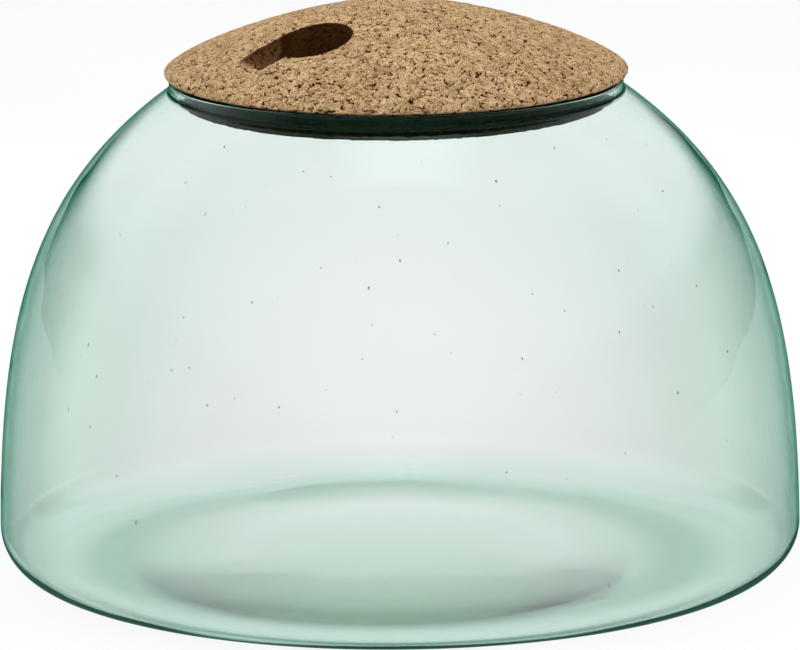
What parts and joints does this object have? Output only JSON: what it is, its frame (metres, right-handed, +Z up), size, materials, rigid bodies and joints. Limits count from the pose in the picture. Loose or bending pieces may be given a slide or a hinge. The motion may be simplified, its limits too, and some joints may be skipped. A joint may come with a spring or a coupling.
{
  "type": "glass terrarium with cork lid",
  "caption": "Wide domed terrarium vessel of clear green blown glass, closed by a domed lid of pressed cork with a slanted air hole; stands empty.",
  "frame": {"origin": "on the surface that the vessel stands on, under the middle of the vessel", "axes": "+Z up through the middle of the lid; +Y points to the back, so the lid's air hole is at the front left"},
  "size_m": [0.31, 0.31, 0.2211],
  "materials": {
    "green_glass": "clear pale green blown glass with fine seeds",
    "pressed_cork": "raw pressed cork granules, matt"
  },
  "bodies": {
    "root": {"glass_vessel": "green_glass", "cork_lid": "pressed_cork"}
  },
  "joints": []
}
